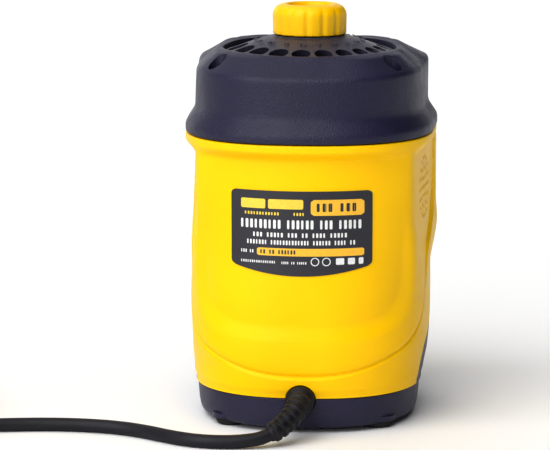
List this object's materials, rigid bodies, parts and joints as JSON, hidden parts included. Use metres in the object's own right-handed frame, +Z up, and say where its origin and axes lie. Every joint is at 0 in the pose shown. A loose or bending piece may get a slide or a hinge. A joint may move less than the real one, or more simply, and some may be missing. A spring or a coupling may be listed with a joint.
{
  "type": "drill bit sharpener",
  "caption": "Bench drill bit sharpener: round-backed plastic casing, slanted guide bores in a dome under a clamp knob, grinding wheel and motor inside, rocker switch, mains lead.",
  "frame": {"origin": "on the floor under the middle of the casing, on the motor axis", "axes": "+Z up along the motor axis; +Y towards the rear, where the lead leaves; +X to the operator's right seen from the front"},
  "size_m": [0.3399, 0.1754, 0.217],
  "materials": {
    "yellow_plastic": "satin moulded ABS, fine texture",
    "charcoal_plastic": "matt moulded plastic with a fine grain",
    "black_rubber": "matt black rubber or PVC",
    "steel": "machined steel",
    "zinc_steel": "zinc-plated steel",
    "copper_winding": "enamelled copper wire, bound with cord",
    "brass": "turned brass",
    "lamination": "stacked electrical steel sheets",
    "aluminium": "die-cast aluminium",
    "abrasive": "bonded aluminium oxide, gritty",
    "label_film": "printed plastic film, satin",
    "red_plastic": "gloss moulded plastic"
  },
  "bodies": {
    "housing": {"body_shell": "yellow_plastic", "front_panel": "charcoal_plastic", "base_shell": "charcoal_plastic", "rubber_foot_1": "black_rubber", "rubber_foot_2": "black_rubber", "rubber_foot_3": "black_rubber", "rubber_foot_4": "black_rubber", "top_cap": "charcoal_plastic", "guide_dome": "charcoal_plastic", "cap_screw_1": "zinc_steel", "cap_screw_2": "zinc_steel", "cap_screw_3": "zinc_steel", "cap_screw_4": "zinc_steel", "clamp_bracket": "zinc_steel", "bracket_screw_1": "zinc_steel", "bracket_screw_2": "zinc_steel", "clamp_stud": "zinc_steel", "stator_core": "lamination", "winding_lower": "copper_winding", "winding_upper": "copper_winding", "end_shield_lower": "aluminium", "end_shield_upper": "aluminium", "bearing_lower": "steel", "bearing_upper": "steel", "motor_bolt_1": "zinc_steel", "motor_bolt_2": "zinc_steel", "motor_bolt_3": "zinc_steel", "motor_bolt_4": "zinc_steel", "base_screw_1": "zinc_steel", "base_screw_2": "zinc_steel", "base_screw_3": "zinc_steel", "base_screw_4": "zinc_steel", "run_capacitor": "label_film", "terminal_block": "black_rubber", "chamber_floor": "zinc_steel", "switch_body": "black_rubber", "rating_label": "label_film", "cord_boot": "black_rubber", "power_cord": "black_rubber", "cord_coil": "black_rubber", "cord_tie": "black_rubber", "plug_body": "black_rubber", "plug_pin_1": "brass", "plug_pin_2": "brass", "cord_clamp": "charcoal_plastic", "clamp_screw_1": "zinc_steel", "clamp_screw_2": "zinc_steel"},
    "rotor": {"motor_shaft": "steel", "rotor_core": "lamination", "cooling_fan": "charcoal_plastic", "wheel_flange_lower": "steel", "grinding_wheel": "abrasive", "wheel_flange_upper": "steel", "wheel_nut": "zinc_steel"},
    "clamp_washer": {"thrust_washer": "zinc_steel"},
    "knob": {"clamp_knob": "yellow_plastic", "knob_insert": "brass"},
    "rocker": {"switch_rocker": "red_plastic"}
  },
  "joints": [
    {"name": "rotor_spin", "type": "hinge", "parent": "housing", "child": "rotor", "pos_m": [0, 0, 0.1], "axis": [0, 0, 1], "continuous": true},
    {"name": "knob_lift", "type": "slide", "parent": "housing", "child": "clamp_washer", "axis": [0, 0, 1], "range_m": [0, 0.0038]},
    {"name": "knob_turn", "type": "hinge", "parent": "clamp_washer", "child": "knob", "pos_m": [0, 0, 0.205], "axis": [0, 0, 1], "range_deg": [0, 1080]},
    {"name": "switch_rock", "type": "hinge", "parent": "housing", "child": "rocker", "pos_m": [0, -0.0653, 0.053], "axis": [-1, 0, 0], "range_deg": [0, 18]}
  ],
  "couplings": [
    {"joint": "knob_lift", "follows": "knob_turn", "m_per_rad": 0.00019894}
  ]
}
